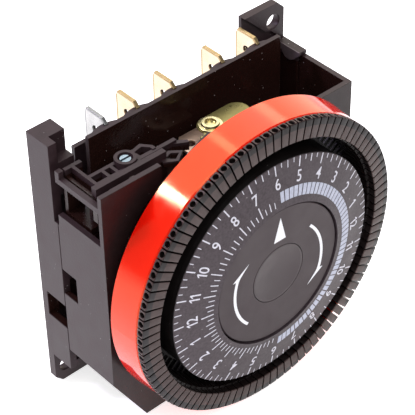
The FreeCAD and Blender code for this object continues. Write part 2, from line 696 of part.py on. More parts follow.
def gears():
    # a tooth of the dial wheel points at the idler, and a gap of each pinion points back
    idler_bearing = 140.0
    output_bearing = 290.0
    pinion_turn = idler_bearing + 180 + 180 / number("idler_pinion_teeth")
    node("dial_gear", gear("dial_module", "dial_teeth", ("dial_gear_rear", "dial_gear_front"),
                           "hub_radius", idler_bearing))
    pinion = place(gear("dial_module", "idler_pinion_teeth",
                        ("idler_front", "dial_gear_front + 0.3"), "arbor_bore", pinion_turn),
                   IDLER_X, IDLER_Z)
    wheel = place(gear("train_module", "idler_teeth", ("idler_rear", "idler_front"),
                       "arbor_bore", output_bearing), IDLER_X, IDLER_Z)
    node("idler_wheel", fuse(wheel, pinion))
    output_turn = output_bearing + 180 + 180 / number("output_teeth")
    node("output_pinion", place(gear("train_module", "output_teeth",
                                     ("idler_rear - 0.4", "idler_front + 0.4"), "0.6",
                                     output_turn), OUTPUT_X, OUTPUT_Z))
    node("output_arbor", rod("0.6", ("motor_front + 0.2", "idler_front + 0.6"),
                             OUTPUT_X, OUTPUT_Z))
    pin = rod("arbor_radius", ("plate_rear", "dial_gear_front + 0.6"), IDLER_X, IDLER_Z)
    node("idler_pin", pin)


def gear_plate():
    """The bearing plate between the motor and the wheels."""
    sheet_metal = plate(
        [("-24", "-26"), ("24", "-26"), ("29", "-20"), ("29", "8"), ("23", "12"), ("-23", "12"),
         ("-29", "8"), ("-29", "-16")],
        ("plate_rear", "plate_front"))
    holes = [
        rod("spindle_radius", ("10", "15"), "0", "0"),
        rod("arbor_radius", ("10", "15"), IDLER_X, IDLER_Z),
        rod("0.65", ("10", "15"), OUTPUT_X, OUTPUT_Z),
        rod("4.0", ("10", "15"), "-20", "-4"),
    ]
    return node("gear_plate", cut(sheet_metal, *holes))


def plate_pillars():
    """Three spacers that carry the bearing plate clear of the base."""
    spots = [("26.5", "6"), ("-26.5", "4"), ("22", "-23.5")]
    pillars = [rod("1.5", ("back_thick", "plate_rear"), x, z) for x, z in spots]
    group = doc.addObject("Part::Compound", "Pillars")
    group.Links = pillars
    return node("plate_pillars", group)


# ------------------------------------------------------------------------ dial

def dial_drum():
    """Hub, web and inner wall in one moulding; each tripper's tail has a slot in the web."""
    body = lathe([
        ("spindle_bore", "hub_rear"), ("hub_radius", "hub_rear"), ("hub_radius", "shoulder_rear"),
        ("shoulder_radius", "shoulder_rear"), ("shoulder_radius", "flange_rear"),
        ("slot_outer", "flange_rear"), ("slot_outer", "skirt_rear"),
        ("skirt_radius", "skirt_rear"), ("skirt_radius", "flange_rear"),
        ("flange_radius", "flange_rear"), ("flange_radius", "flange_front"),
        ("drum_outer", "flange_front"), ("drum_outer", "drum_front"), ("drum_inner", "drum_front"),
        ("drum_inner", "flange_front"), ("hub_radius", "flange_front"), ("hub_radius", "hub_front"),
        ("spindle_bore", "hub_front")])
    sketch = new_sketch(body, "XZ_Plane", "(flange_rear + flange_front) / 2")
    draw_polygon(sketch, [("-slot_width / 2", "slot_inner"), ("slot_width / 2", "slot_inner"),
                          ("slot_width / 2", "slot_outer"), ("-slot_width / 2", "slot_outer")])
    slot = pocket(body, sketch, "3")
    polar(body, [slot], "tripper_count")
    half_step = 180 / number("tripper_count")
    body.Placement = FreeCAD.Placement(Vector(), FreeCAD.Rotation(Vector(0, 1, 0), half_step))
    return node("dial_drum", body)


def dial_ring():
    return node("dial_ring", lathe([
        ("ring_rear_radius", "flange_rear"), ("ring_front_radius + 0.02", "ring_front - 0.3"),
        ("ring_front_radius - 0.25", "ring_front"), ("ring_front_radius - ring_wall", "ring_front"),
        ("flange_radius", "flange_front"), ("flange_radius", "flange_rear")]))


def number_disc():
    return node("number_disc", lathe([
        ("scale_inner", "scale_high"), ("scale_outer - 0.15", "scale_low + 0.03"),
        ("scale_outer", "scale_low - 0.15"), ("scale_outer", "drum_front"),
        ("drum_inner - 0.6", "drum_front"), ("scale_inner", "scale_high - scale_thick")]))


def clutch_spring():
    return node("clutch_spring", lathe([
        ("hub_radius + 0.1", "dial_gear_front"), ("shoulder_radius", "dial_gear_front + 0.3"),
        ("shoulder_radius", "shoulder_rear"), ("hub_radius + 0.1", "dial_gear_front + 0.3")]))


def pointer_disc():
    return node("pointer_disc", lathe([
        ("spindle_radius", "30.6"), ("4.5", "30.6"), ("4.5", "pointer_rear"),
        ("pointer_radius", "pointer_rear"), ("pointer_radius", "pointer_front - 0.2"),
        ("pointer_radius - 0.2", "pointer_front"), ("cap_seat", "pointer_front"),
        ("cap_seat", "cap_rear"), ("spindle_radius", "cap_rear")]))


def centre_cap():
    """A round cap with a shallow dish for a fingertip."""
    disc = rod("cap_radius", ("cap_rear", "pointer_front"))
    dish = doc.addObject("Part::Sphere", "Dish")
    dish_radius = "((cap_radius - 0.4) * (cap_radius - 0.4) + cap_dish * cap_dish) / (2 * cap_dish)"
    dish.setExpression("Radius", bound(dish_radius))
    dish.setExpression("Placement.Base.y", bound(f"-(pointer_front - cap_dish + {dish_radius})"))
    return node("centre_cap", cut(disc, dish))


def spindle():
    shaft = rod("spindle_radius", ("plate_rear", "cap_rear - 0.1"))
    groove = cut(rod("spindle_radius + 1", ("29.8", "30.3")),
                 rod("spindle_radius - 0.4", ("29", "31")))
    node("dial_spindle", cut(shaft, groove))
    washer = cut(rod("4.2", ("29.82", "30.28")), rod("spindle_radius - 0.35", ("29", "31")),
                 block(("-1.6", "1.6"), ("29", "31"), ("-6", "0")))
    node("spindle_clip", washer)


# --------------------------------------------------------------------- trippers

SINGLE_EVERY = 12


def tripper(index, repeats=1):
    """A tripper with a thumb bar over the ring, a stem and a tail, drawn about +X and turned
    to position number index, counted from +Z. Repeats make a group of neighbours."""
    body = lathe([
        ("tripper_inner", "tripper_high - 0.12"), ("tripper_inner + 0.12", "tripper_high"),
        ("tripper_outer - 0.2", "tripper_low"), ("tripper_outer", "tripper_low - 0.25"),
        ("tripper_outer", "tripper_under"), ("stem_outer", "tripper_under"),
        ("stem_outer", "stem_rear"), ("stem_inner", "stem_rear"),
        ("stem_inner", "tripper_under"), ("tripper_inner", "tripper_under")], "tripper_sweep")
    body.AllowCompound = True
    bar = body.Tip
    tail_sketch = new_sketch(body, "XY_Plane")
    draw_polygon(tail_sketch, [("tail_inner", "-(stem_rear + 0.4)"), ("tail_inner", "-tail_rear"),
                               ("tail_outer", "-tail_rear"), ("tail_outer", "-(stem_rear + 0.4)")])
    tail = revolve(body, tail_sketch, "tail_sweep")
    notch_sketch = new_sketch(body, "YZ_Plane", "tripper_outer - 0.55")
    draw_circle(notch_sketch, "notch_radius", "-(tripper_low - 0.72)", "0")
    notch = pocket(body, notch_sketch, "1.3")
    if repeats > 1:
        polar(body, [bar, tail, notch], str(repeats), f"360 * {repeats - 1} / tripper_count")
    angle = 360 * (index + 0.5) / number("tripper_count") - 90
    body.Placement = FreeCAD.Placement(Vector(), FreeCAD.Rotation(Vector(0, 1, 0), angle))
    return body


def trippers():
    """Eight trippers stand alone, and the rest are in eight groups between them."""
    starts = range(0, int(number("tripper_count")), SINGLE_EVERY)
    for order, index in enumerate(starts, start=1):
        node(f"tripper_{order}", tripper(index))
        node(f"tripper_group_{order}", tripper(index + 1, SINGLE_EVERY - 1))


# ------------------------------------------------------------------- the object

rear_base()
front_case()
switch_carrier()
carrier_screw()
for count_from_left, blade_x in enumerate(BLADE_X, start=1):
    terminal(count_from_left, blade_x)
contact_arm()
moving_contact()
fixed_contact()
fixed_button()
leaf_clamp()
switch_lever()
lever_pin()
motor()
gears()
gear_plate()
plate_pillars()
dial_drum()
dial_ring()
number_disc()
clutch_spring()
pointer_disc()
centre_cap()
spindle()
trippers()
doc.recompute()

for item in doc.Objects:
    for word in item.State:
        if word in ("Invalid", "Error"):
            raise RuntimeError(f"{item.Name} ({item.Label}) is in state {word}")
for item in NODES:
    if item.Shape.isNull() or not item.Shape.isValid() or not item.Shape.Solids:
        raise RuntimeError(f"{item.Label} has no valid shape")

os.makedirs("parts", exist_ok=True)
for item in NODES:
    item.Shape.exportStep(f"parts/{item.Label}.step")
print(len(NODES), "parts")
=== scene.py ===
import json
import math

import bmesh
import bpy
from mathutils import Matrix, Vector


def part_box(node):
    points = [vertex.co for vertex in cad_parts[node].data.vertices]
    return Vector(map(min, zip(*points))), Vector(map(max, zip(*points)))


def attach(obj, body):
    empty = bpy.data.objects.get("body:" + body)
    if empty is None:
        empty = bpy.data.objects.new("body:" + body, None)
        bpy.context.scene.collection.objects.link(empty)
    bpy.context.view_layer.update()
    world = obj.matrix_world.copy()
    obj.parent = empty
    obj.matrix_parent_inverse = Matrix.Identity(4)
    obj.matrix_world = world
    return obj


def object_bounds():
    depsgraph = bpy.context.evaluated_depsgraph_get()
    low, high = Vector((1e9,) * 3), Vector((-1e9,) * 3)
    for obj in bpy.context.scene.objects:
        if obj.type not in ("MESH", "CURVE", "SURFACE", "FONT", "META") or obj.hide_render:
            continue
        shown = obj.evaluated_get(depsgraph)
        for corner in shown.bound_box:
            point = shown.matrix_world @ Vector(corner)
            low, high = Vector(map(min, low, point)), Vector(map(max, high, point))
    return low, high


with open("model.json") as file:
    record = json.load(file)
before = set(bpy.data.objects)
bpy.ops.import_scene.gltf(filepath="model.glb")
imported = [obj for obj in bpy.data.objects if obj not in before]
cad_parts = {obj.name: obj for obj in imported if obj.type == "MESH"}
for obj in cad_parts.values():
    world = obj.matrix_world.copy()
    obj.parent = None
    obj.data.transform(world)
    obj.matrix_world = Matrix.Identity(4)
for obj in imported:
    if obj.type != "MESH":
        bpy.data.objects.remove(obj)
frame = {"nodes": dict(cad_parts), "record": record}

# Day timer: finishes, printing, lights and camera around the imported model.
# Lengths are in mm unless a comment says metres, and MM turns them into metres. The frame is the
# CAD's: the dial faces -Y and turns about the Y axis. A depth is how far a point stands in front
# of the rear mounting face.

MM = 0.001
cad_low, cad_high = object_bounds()
nodes = frame["nodes"]
disc_low, disc_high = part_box("number_disc")
SCALE_OUTER, SCALE_HIGH = disc_high.x / MM, -disc_low.y / MM
POINTER_DEPTH = -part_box("pointer_disc")[0].y / MM
blade_low, blade_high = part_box("terminal_2")
BLADE_FRONT, BLADE_REAR, BLADE_TOP = -blade_low.y / MM, -blade_high.y / MM, blade_high.z / MM


# ------------------------------------------------------------------- shader helpers

class Shader:
    """A Principled material with short helpers for its procedural detail."""

    def __init__(self, name):
        self.material = bpy.data.materials.new(name)
        self.material.use_nodes = True
        self.tree = self.material.node_tree
        self.principled = self.tree.nodes["Principled BSDF"]
        coordinates = self.tree.nodes.new("ShaderNodeTexCoord")
        self.place = coordinates.outputs["Object"]
        self.colour = None
        self.roughness = None

    def set(self, **values):
        """Sets Principled inputs by name, with an underscore for each space."""
        for socket, value in values.items():
            self.principled.inputs[socket.replace("_", " ")].default_value = value
        return self

    def noise(self, size, detail=3.0, stretch=None):
        """Noise whose features are about size mm across."""
        place = self.place
        if stretch:
            mapping = self.tree.nodes.new("ShaderNodeMapping")
            mapping.inputs["Scale"].default_value = stretch
            self.tree.links.new(place, mapping.inputs["Vector"])
            place = mapping.outputs["Vector"]
        texture = self.tree.nodes.new("ShaderNodeTexNoise")
        texture.inputs["Scale"].default_value = 1.0 / (size * MM)
        texture.inputs["Detail"].default_value = detail
        self.tree.links.new(place, texture.inputs["Vector"])
        return texture.outputs["Fac"]

    def ramp(self, source, low, high, start=0.3, end=0.7):
        """A number from low to high as source goes from start to end."""
        spread = self.tree.nodes.new("ShaderNodeMapRange")
        for socket, value in (("From Min", start), ("From Max", end), ("To Min", low),
                              ("To Max", high)):
            spread.inputs[socket].default_value = value
        self.tree.links.new(source, spread.inputs["Value"])
        return spread.outputs["Result"]

    def tint(self, source, low, high, start=0.3, end=0.7):
        """The base colour, from low to high as source goes from start to end."""
        ramp = self.tree.nodes.new("ShaderNodeValToRGB")
        ramp.color_ramp.elements[0].position = start
        ramp.color_ramp.elements[0].color = (*low, 1)
        ramp.color_ramp.elements[1].position = end
        ramp.color_ramp.elements[1].color = (*high, 1)
        self.tree.links.new(source, ramp.inputs["Fac"])
        self.colour = ramp.outputs["Color"]
        self.tree.links.new(self.colour, self.principled.inputs["Base Color"])
        return self

    def rough(self, source, low, high):
        """The roughness, from low to high with source."""
        self.roughness = self.ramp(source, low, high)
        self.tree.links.new(self.roughness, self.principled.inputs["Roughness"])
        return self

    def bump(self, source, depth, strength):
        """Relief of depth mm."""
        node = self.tree.nodes.new("ShaderNodeBump")
        node.inputs["Distance"].default_value = depth * MM
        node.inputs["Strength"].default_value = strength
        self.tree.links.new(source, node.inputs["Height"])
        self.tree.links.new(node.outputs["Normal"], self.principled.inputs["Normal"])
        return self

    def math(self, operation, first, second=None):
        """One operation on one or two values, each a number or another node's output."""
        node = self.tree.nodes.new("ShaderNodeMath")
        node.operation = operation
        for index, value in enumerate((first, second)):
            if value is None:
                continue
            if isinstance(value, (int, float)):
                node.inputs[index].default_value = value
            else:
                self.tree.links.new(value, node.inputs[index])
        return node.outputs[0]

    def axes(self):
        """The object's own x, y and z, in metres."""
        split = self.tree.nodes.new("ShaderNodeSeparateXYZ")
        self.tree.links.new(self.place, split.inputs[0])
        return split.outputs

    def square_reach(self, first, second):
        """The square of the distance from an axis, from the two coordinates across it."""
        return self.math("ADD", self.math("MULTIPLY", first, first),
                         self.math("MULTIPLY", second, second))

    def inside(self, **limits):
        """1 inside a box and 0 outside; limits are in mm, for x, depth and z."""
        x, y, z = self.axes()
        mask = None
        for name, (low, high) in limits.items():
            source = {"x": x, "depth": self.math("MULTIPLY", y, -1.0), "z": z}[name]
            for edge, operation in ((low, "GREATER_THAN"), (high, "LESS_THAN")):
                if edge is None:
                    continue
                step = self.math(operation, source, edge * MM)
                mask = step if mask is None else self.math("MULTIPLY", mask, step)
        return mask

    def beyond(self, radius):
        """1 farther than radius mm from the dial's axis, and 0 elsewhere."""
        x, _, z = self.axes()
        return self.math("GREATER_THAN", self.square_reach(x, z), (radius * MM) ** 2)

    def either(self, *masks):
        """1 where any of the masks is 1."""
        result = masks[0]
        for mask in masks[1:]:
            result = self.math("MAXIMUM", result, mask)
        return result

    def recolour(self, mask, colour, roughness):
        """Where mask is 1, the surface takes this colour and roughness, with a faint grain:
        painted shade or light, or dust.
        """
        mottle = self.tree.nodes.new("ShaderNodeValToRGB")
        for element, share in zip(mottle.color_ramp.elements, (0.7, 1.3)):
            element.color = (*(channel * share for channel in colour), 1)
        self.tree.links.new(self.noise(1.2, 4.0), mottle.inputs["Fac"])
        tone = self.tree.nodes.new("ShaderNodeMix")
        tone.data_type = "RGBA"
        self.tree.links.new(mask, tone.inputs["Factor"])
        self.tree.links.new(self.colour, tone.inputs["A"])
        self.tree.links.new(mottle.outputs["Color"], tone.inputs["B"])
        gloss = self.tree.nodes.new("ShaderNodeMix")
        grain = self.ramp(self.noise(2.0, 4.0), roughness * 0.8, roughness * 1.2)
        self.tree.links.new(mask, gloss.inputs["Factor"])
        self.tree.links.new(self.roughness, gloss.inputs["A"])
        self.tree.links.new(grain, gloss.inputs["B"])
        self.colour = next(item for item in tone.outputs if item.type == "RGBA")
        self.roughness = gloss.outputs["Result"]
        self.tree.links.new(self.colour, self.principled.inputs["Base Color"])
        self.tree.links.new(self.roughness, self.principled.inputs["Roughness"])
        return self

    def dust(self):
        """Small pale specks."""
        specks = self.math("GREATER_THAN", self.noise(0.5, 0.0), 0.86)
        return self.recolour(specks, DUST, 0.6)


# ------------------------------------------------------------------------ finishes

CASE_DARK, CASE_LIGHT = (0.023, 0.012, 0.014), (0.037, 0.022, 0.025)
# Painted shade on the front case's face, where the ring shades it.
FACE_SHADE = (0.017, 0.0085, 0.0085)
# Painted shade, near black, for walls and hollows that lie in shade.
SHADE_BLACK = (0.018, 0.0070, 0.0055)
# Painted light on the bay's flap, which lies in shade.
FLAP_PAINTED_LIGHT = (0.10, 0.075, 0.085)
DIAL_DARK, DIAL_LIGHT = (0.036, 0.023, 0.027), (0.042, 0.028, 0.032)
# Painted shade, near black, on the number disc's outer wall.
WALL_SHADE = (0.004, 0.0025, 0.0025)
TRIPPER_DARK, TRIPPER_LIGHT = (0.036, 0.019, 0.017), (0.062, 0.038, 0.035)
# Painted shade, near black, on the trippers' hidden sides and dimples.
TRIPPER_SHADE = (0.007, 0.004, 0.004)
DUST = (0.22, 0.20, 0.20)

# Where the finish changes, with painted shade, and painted light on the bay's flap: boxes for
# Shader.inside and radii for Shader.beyond. A limit stands a little past a face that it takes
# in, or a little short of one that it leaves out.
SHROUD_FRONT = {"depth": (8.25, None), "x": (None, 30.0)}
BAY_WALL = {"x": (25.6, 31.6), "depth": (2.25, None), "z": (None, 21.9)}
BAY_FLAP = {"x": (30.2, 30.6), "depth": (1.3, 8.95), "z": (21.5, 24.9)}
REAR_WINDOWS = {"x": (-32.3, 32.3), "depth": (1.6, None), "z": (-13.5, -7.1)}
FRONT_WINDOWS = {"x": (-32.3, 32.3), "depth": (None, 12.4), "z": (-3.6, 3.0)}
FRONT_INSIDE = {"x": (-31.35, 31.35), "depth": (None, 20.85), "z": (-31.7, None)}
FRONT_FACE = {"depth": (21.85, None)}
BELOW_CARRIER_EDGES = {"z": (None, 26.6)}
BEHIND_TRIPPER_FRONTS = {"depth": (None, 33.1)}
TRIPPER_ENDS = 33.2
DISC_WALL = SCALE_OUTER - 0.04

# The blades' chamfer, and the width of the band of painted shade along their edges.
BLADE_CHAMFER = 1.1
BLADE_RIM = 0.42


def moulded(name, dark, light, roughness, grain, relief, specular=0.5, spread=9.0):
    """Moulded plastic: uneven tone and gloss, and a grain of the given size and relief."""
    shader = Shader(name).set(Specular_IOR_Level=specular)
    shader.tint(shader.noise(spread, 5.0), dark, light)
    shader.rough(shader.noise(3.0, 6.0), roughness - 0.05, roughness + 0.05)
    return shader.bump(shader.noise(grain, 2.0), relief, 0.5)


def metal(name, dark, light, roughness, stretch=(1, 1, 1)):
    """Sheet metal with tarnish in its colour and fine rolling marks."""
    shader = Shader(name).set(Metallic=1.0)
    shader.tint(shader.noise(4.0, 5.0), dark, light)
    shader.rough(shader.noise(1.5, 5.0), roughness - 0.06, roughness + 0.08)
    return shader.bump(shader.noise(0.25, 3.0, stretch), 0.01, 0.6)


def blade_metal(name, dark, light, edge_shade_colour):
    """A blade's sheet metal, with painted shade along its pressed edges and on its chamfered
    corner.
    """
    shader = metal(name, dark, light, 0.24, stretch=(1, 1, 12))
    _, y, z = shader.axes()
    slant = BLADE_FRONT + BLADE_TOP - BLADE_CHAMFER - 1.4 * BLADE_RIM
    corner = shader.math("GREATER_THAN", shader.math("SUBTRACT", z, y), slant * MM)
    shaded_edge = shader.either(shader.inside(depth=(None, BLADE_REAR + BLADE_RIM)),
                        shader.inside(depth=(BLADE_FRONT - BLADE_RIM, None)),
                        shader.inside(z=(BLADE_TOP - BLADE_RIM, None)), corner)
    return shader.recolour(shaded_edge, edge_shade_colour, 0.34)


def printed_ink(name, dark, light):
    """Matt ink with a very fine grain."""
    shader = Shader(name).set(Specular_IOR_Level=0.3)
    shader.tint(shader.noise(0.5, 4.0), dark, light)
    shader.rough(shader.noise(0.8, 3.0), 0.45, 0.6)
    return shader.bump(shader.noise(0.08, 2.0), 0.004, 0.5).material


def case_plastic(name):
    """The plastic that all of the case's mouldings share."""
    return moulded(name, CASE_DARK, CASE_LIGHT, 0.44, grain=0.55, relief=0.045, specular=0.22,
                   spread=3.0)


def rear_plastic():
    """The base's plastic: glossier, with painted shade, on the bay's walls and windows; painted
    light on its flap.
    """
    shader = case_plastic("rear_plastic")
    shade_mask = shader.either(shader.inside(**SHROUD_FRONT), shader.inside(**BAY_WALL),
                          shader.inside(**REAR_WINDOWS))
    shader.recolour(shade_mask, SHADE_BLACK, 0.13)
    return shader.recolour(shader.inside(**BAY_FLAP), FLAP_PAINTED_LIGHT, 0.4).dust()


def front_plastic():
    """The front case's plastic: smoother, with painted shade, on its face; glossier, with
    painted shade, inside.
    """
    shader = case_plastic("front_plastic")
    shade_mask = shader.either(shader.inside(**FRONT_INSIDE), shader.inside(**FRONT_WINDOWS))
    shader.recolour(shader.inside(**FRONT_FACE), FACE_SHADE, 0.34)
    return shader.recolour(shade_mask, SHADE_BLACK, 0.25).dust()


def carrier_plastic():
    """The switch carrier's plastic, glossier and with painted shade below its top edges."""
    shader = case_plastic("carrier_plastic")
    return shader.recolour(shader.inside(**BELOW_CARRIER_EDGES), SHADE_BLACK, 0.28)


def tripper_plastic():
    """The trippers' plastic, with painted shade, near black, behind their fronts and inside the
    dimples.
    """
    shader = moulded("tripper_plastic", TRIPPER_DARK, TRIPPER_LIGHT, 0.45, grain=0.12,
                     relief=0.010, specular=0.3, spread=2.0)
    behind = shader.inside(**BEHIND_TRIPPER_FRONTS)
    inner = shader.math("SUBTRACT", 1.0, shader.beyond(TRIPPER_ENDS))
    return shader.recolour(shader.math("MULTIPLY", behind, inner), TRIPPER_SHADE, 0.4)


def ring_plastic():
    """Glossy red, whose reflections lean towards orange."""
    shader = moulded("ring_red", (0.70, 0.0035, 0.001), (0.78, 0.008, 0.002), 0.12, grain=0.6,
                     relief=0.001, specular=0.68)
    return shader.set(Specular_Tint=(1.0, 0.74, 0.30, 1.0))


def disc_plastic():
    """The printed disc's plastic, with painted shade, near black, round its outer wall."""
    shader = moulded("disc_black", (0.028, 0.017, 0.022), (0.060, 0.044, 0.052), 0.50,
                     grain=0.10, relief=0.006, specular=0.35, spread=0.5)
    return shader.recolour(shader.beyond(DISC_WALL), WALL_SHADE, 0.5).dust()


MATERIALS = {
    "case_black": case_plastic("case_black"),
    "rear_plastic": rear_plastic(),
    "front_plastic": front_plastic(),
    "carrier_plastic": carrier_plastic(),
    # The drum's finish: painted shade, near black, over the whole node.
    "channel_shade": moulded("channel_shade", (0.003, 0.002, 0.002), (0.006, 0.004, 0.004), 0.5,
                             grain=0.2, relief=0.01, specular=0.25),
    "dial_black": disc_plastic(),
    "cap_black": moulded("cap_black", DIAL_DARK, DIAL_LIGHT, 0.42, grain=0.10, relief=0.003,
                         specular=0.34),
    "pointer_black": moulded("pointer_black", DIAL_DARK, DIAL_LIGHT, 0.50, grain=0.10,
                             relief=0.003, specular=0.3),
    "tripper_black": tripper_plastic(),
    "ring_red": ring_plastic(),
    "brass": metal("brass", (0.52, 0.43, 0.27), (0.63, 0.54, 0.38), 0.22, stretch=(1, 1, 12)),
    "leaf_brass": metal("leaf_brass", (0.15, 0.125, 0.045), (0.24, 0.21, 0.085), 0.30,
                        stretch=(1, 12, 12)),
    "eyelet_brass": metal("eyelet_brass", (0.46, 0.40, 0.20), (0.62, 0.55, 0.32), 0.24),
    "tinned": blade_metal("tinned", (0.34, 0.34, 0.33), (0.46, 0.46, 0.45), (0.24, 0.24, 0.24)),
    "blade_brass": blade_metal("blade_brass", (0.56, 0.45, 0.31), (0.65, 0.54, 0.39),
                               (0.36, 0.26, 0.13)),
    "contact_silver": metal("contact_silver", (0.70, 0.69, 0.66), (0.86, 0.85, 0.83), 0.3),
    "copper": metal("copper", (0.80, 0.55, 0.42), (0.92, 0.70, 0.56), 0.42,
                    stretch=(12, 1, 1)),
    "steel": metal("steel", (0.52, 0.53, 0.55), (0.72, 0.73, 0.75), 0.3),
    "screw_zinc": metal("screw_zinc", (0.15, 0.19, 0.22), (0.26, 0.32, 0.36), 0.22),
    "magnet": moulded("magnet", (0.04, 0.04, 0.045), (0.08, 0.08, 0.085), 0.6, grain=0.2,
                      relief=0.02),
    "gear_white": moulded("gear_white", (0.70, 0.68, 0.60), (0.80, 0.78, 0.72), 0.42,
                          grain=0.2, relief=0.006),
}

# Nodes whose finish isn't the one that their material slot names. The drum's is painted shade.
OWN_FINISH = {
    "rear_base": "rear_plastic", "front_case": "front_plastic",
    "switch_carrier": "carrier_plastic", "dial_drum": "channel_shade",
    "pointer_disc": "pointer_black", "centre_cap": "cap_black",
    "carrier_screw": "screw_zinc", "contact_leaf": "leaf_brass",
    "moving_contact": "eyelet_brass",
}
for index in range(2, 6):
    OWN_FINISH[f"terminal_{index}"] = "blade_brass"
WHITE_INK = printed_ink("white_ink", (0.74, 0.74, 0.78), (0.86, 0.86, 0.90))
SCALE_INK = printed_ink("scale_ink", (0.52, 0.51, 0.57), (0.68, 0.67, 0.74))
BLUE_INK = printed_ink("blue_ink", (0.38, 0.40, 0.50), (0.50, 0.52, 0.62))

# How wide the rounding of a node's edges is. The other nodes keep sharp edges.
SOFT_EDGES = {
    "rear_base": 0.16, "front_case": 0.16, "switch_carrier": 0.10,
    "moving_contact": 0.08, "carrier_screw": 0.08, "fixed_strip": 0.06,
}
for index in range(1, 6):
    SOFT_EDGES[f"terminal_{index}"] = 0.12
for index in range(1, 9):
    SOFT_EDGES[f"tripper_{index}"] = 0.09
    SOFT_EDGES[f"tripper_group_{index}"] = 0.09


def soften(item, width):
    """Rounds a node's sharp edges: flat faces are joined first, so that only edges bevel."""
    weld = item.modifiers.new("weld", "WELD")
    weld.merge_threshold = 0.0005 * MM
    flat = item.modifiers.new("flat", "DECIMATE")
    flat.decimate_type = "DISSOLVE"
    flat.angle_limit = math.radians(0.5)
    bevel = item.modifiers.new("bevel", "BEVEL")
    bevel.width = width * MM
    bevel.segments = 2
    bevel.limit_method = "ANGLE"
    bevel.angle_limit = math.radians(35)
    bevel.use_clamp_overlap = True
    bevel.harden_normals = True


def dress_nodes():
    """Gives every carried-over node its finish, and softens the edges of those listed in
    SOFT_EDGES.
    """
    for entry in frame["record"]["subparts"]:
        name = entry["node"]
        item = nodes[name]
        finish = MATERIALS[OWN_FINISH.get(name, entry["material_slot"])]
        item.data.materials.clear()
        item.data.materials.append(finish.material)
        if name in SOFT_EDGES:
            soften(item, SOFT_EDGES[name])


dress_nodes()


# ------------------------------------------------------------------------ printing

SCALE_INNER = 16.2
SCALE_FALL = 1.9
INK_PROUD = 0.035
INK_SUNK = 0.04
INK_HALF = (INK_PROUD + INK_SUNK) / 2
HOUR = 15.0
QUARTER = HOUR / 4

# The length and width of the ticks at an hour and at the three quarters after it.
OUTER_TICKS = ((2.1, 0.27), (0.9, 0.17), (1.5, 0.20), (0.9, 0.17))
OUTER_EDGE = SCALE_OUTER - 0.12
OUTER_TURN = 0.2
INNER_TICKS = ((2.7, 0.24), (1.35, 0.18), (1.8, 0.20), (1.35, 0.18))
INNER_EDGE = 17.25
INNER_TURN = 0.1

NIGHT_INNER, NIGHT_OUTER = 17.75, 20.05
NIGHT_START = 0.9
NIGHT_SPAN = 178.2
NIGHT_BLOCKS = 48
NIGHT_GAP = 0.7
NIGHT_HOUR_GAP = 0.95

NUMERAL_SIZE = 3.4
NUMERAL_WEIGHT = 0.02
NUMERAL_NARROW = 0.88
NUMERAL_RADIUS = 21.78
NUMERAL_GAP = 0.30
NUMERAL_TURN = 0.6
FLAG_WIDTH = 0.50
FLAG_OVERLAP = 0.1
# How far below the top of a 1 its flag's tip begins and ends, and its root ends.
FLAG_TIP = (0.50, 0.80)
FLAG_ROOT = 0.36

POINTER = [(-1.25, 8.34), (1.85, 8.27), (0.40, 14.0)]
ARROW_CENTRE = (0.2, -0.6)
ARROW_RADIUS = 11.55
ARROW_DRIFT, ARROW_FLARE = 0.12, 0.42
ARROW_HALF, ARROW_SWELL = 0.31, 0.06
ARROW_TAIL, ARROW_NECK = 46.4, 113.2
ARROW_STEPS = 16
# The radius and the angle of the head's barb, tip and inner corner.
ARROW_HEAD = ((13.25, 112.2), (11.15, 133.5), (11.65, 117.0))


def polar(radius, degrees):
    """A point of the dial's plane: the angle runs clockwise from the top."""
    angle = math.radians(degrees)
    return radius * math.sin(angle), radius * math.cos(angle)


def on_scale(x, z, proud):
    """The place, in metres, of a point that stands proud of the number disc's cone."""
    share = (math.hypot(x, z) - SCALE_INNER) / (SCALE_OUTER - SCALE_INNER)
    return Vector((x, -(SCALE_HIGH - SCALE_FALL * share + proud), z)) * MM


def on_pointer(x, z, proud):
    """The place, in metres, of a point that stands proud of the pointer disc's face."""
    return Vector((x, -(POINTER_DEPTH + proud), z)) * MM


def add_patch(form, below, above):
    """Adds a closed plate between two matching rings of points."""
    bottom = [form.verts.new(place) for place in below]
    top = [form.verts.new(place) for place in above]
    form.faces.new(top)
    form.faces.new(bottom[::-1])
    for index in range(len(top)):
        after = (index + 1) % len(top)
        form.faces.new((bottom[index], bottom[after], top[after], top[index]))


def ink_piece(name, form, body, ink):
    """Turns a filled bmesh into a piece of printing that rides a body."""
    bmesh.ops.recalc_face_normals(form, faces=form.faces)
    mesh = bpy.data.meshes.new(name)
    form.to_mesh(mesh)
    form.free()
    mesh.materials.append(ink)
    piece = bpy.data.objects.new(name, mesh)
    bpy.context.scene.collection.objects.link(piece)
    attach(piece, body)


def printed(name, outlines, surface, body, ink):
    """A layer of ink: each outline of (x, z) corners becomes a thin raised patch."""
    form = bmesh.new()
    for outline in outlines:
        add_patch(form, [surface(x, z, -INK_SUNK) for x, z in outline],
                  [surface(x, z, INK_PROUD) for x, z in outline])
    ink_piece(name, form, body, ink)


def tick(start, end, degrees, width):
    """The outline of a radial line between two radii."""
    aside_x, aside_z = polar(width / 2, degrees + 90)
    (start_x, start_z), (end_x, end_z) = polar(start, degrees), polar(end, degrees)
    return [(start_x - aside_x, start_z - aside_z), (start_x + aside_x, start_z + aside_z),
            (end_x + aside_x, end_z + aside_z), (end_x - aside_x, end_z - aside_z)]


def scale_ticks():
    """The outer ticks, all round the scale."""
    ticks = []
    for step in range(96):
        length, width = OUTER_TICKS[step % 4]
        degrees = step * QUARTER + OUTER_TURN
        ticks.append(tick(OUTER_EDGE, OUTER_EDGE - length, degrees, width))
    printed("scale_ticks", ticks, on_scale, "dial", SCALE_INK)


def hour_ticks():
    """The inner ticks, on the day half of the scale."""
    ticks = []
    for step in range(1, 48):
        length, width = INNER_TICKS[step % 4]
        degrees = INNER_TURN - step * QUARTER
        ticks.append(tick(INNER_EDGE, INNER_EDGE + length, degrees, width))
    printed("hour_ticks", ticks, on_scale, "dial", SCALE_INK)


